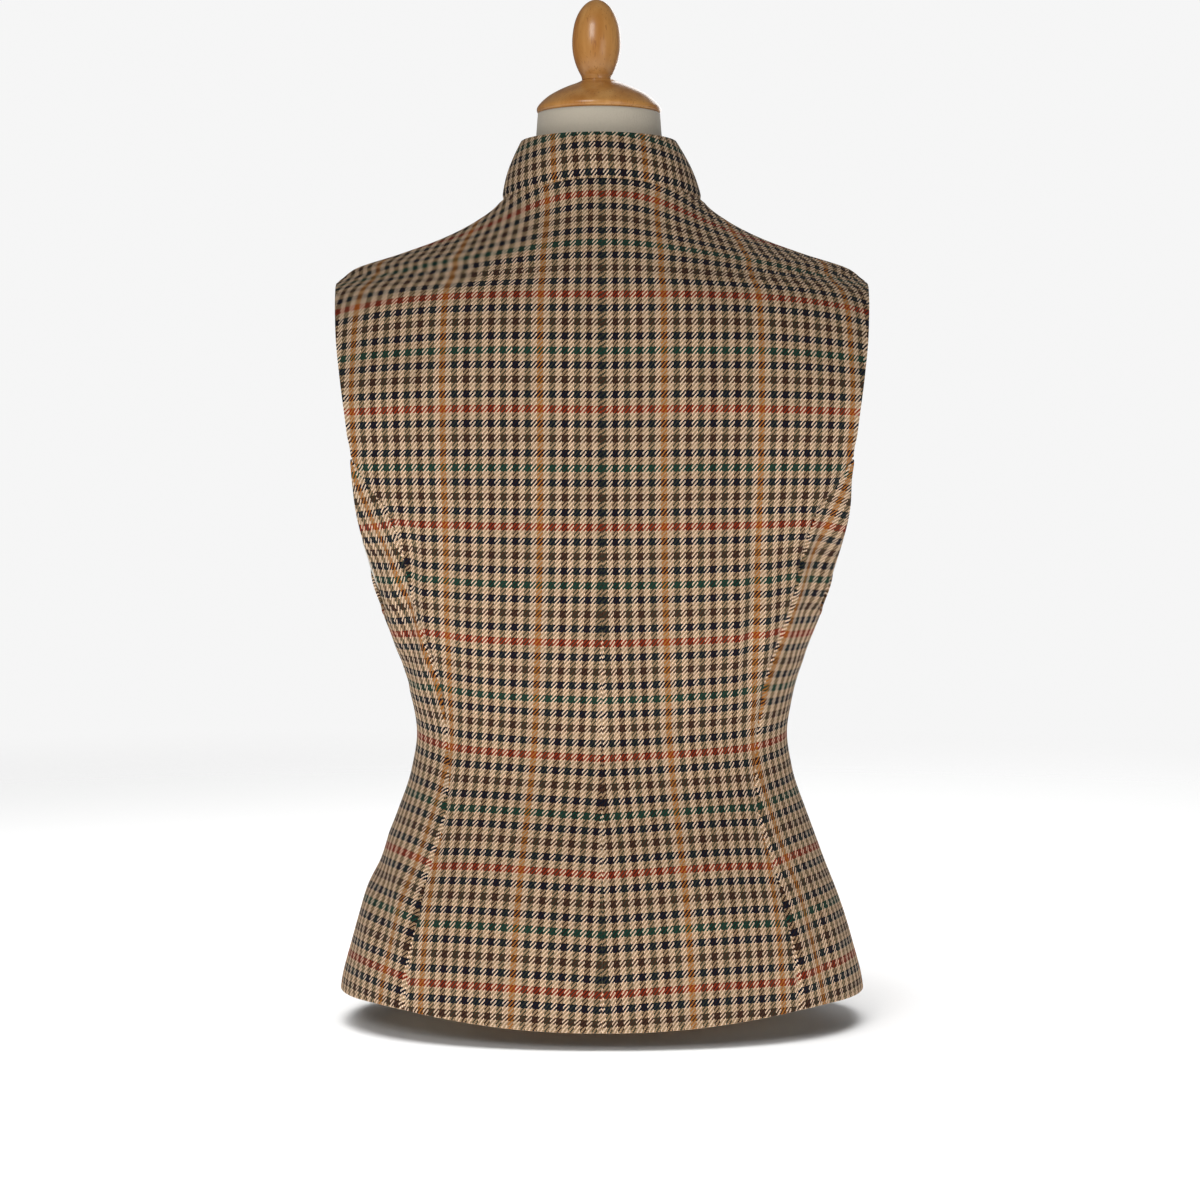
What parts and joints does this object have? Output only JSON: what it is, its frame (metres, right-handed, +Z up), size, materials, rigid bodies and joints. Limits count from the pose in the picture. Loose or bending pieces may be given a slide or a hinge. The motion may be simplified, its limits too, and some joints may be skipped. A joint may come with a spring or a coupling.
{
  "type": "suit waistcoat on a dress form",
  "caption": "Fitted tweed suit waistcoat with a stand collar and a buttoned front, standing on a limbless tabletop dress form with a turned wooden neck cap.",
  "frame": {"origin": "the middle of the whole part's box, on the surface that the form's foot stands on", "axes": "+Z up the form; the front of the body faces -Y and the wearer's left side is +X"},
  "size_m": [0.3802, 0.266, 0.7325],
  "materials": {
    "tweed": "wool two-by-two twill in a cream, brown, olive and dark blue check with gold, rust and green lines",
    "form_jersey": "ecru linen jersey stretched over the form",
    "beech": "turned beech under satin honey varnish",
    "horn_button": "mottled dark horn, satin"
  },
  "bodies": {
    "root": {"dress_form": "form_jersey", "form_foot": "beech", "neck_cap": "beech", "finial": "beech", "back_left": "tweed", "back_right": "tweed", "side_back_left": "tweed", "side_back_right": "tweed", "front_left": "tweed", "front_right": "tweed", "collar": "tweed", "button_1": "horn_button", "button_2": "horn_button", "button_3": "horn_button", "button_4": "horn_button", "button_5": "horn_button", "button_6": "horn_button"}
  },
  "joints": []
}
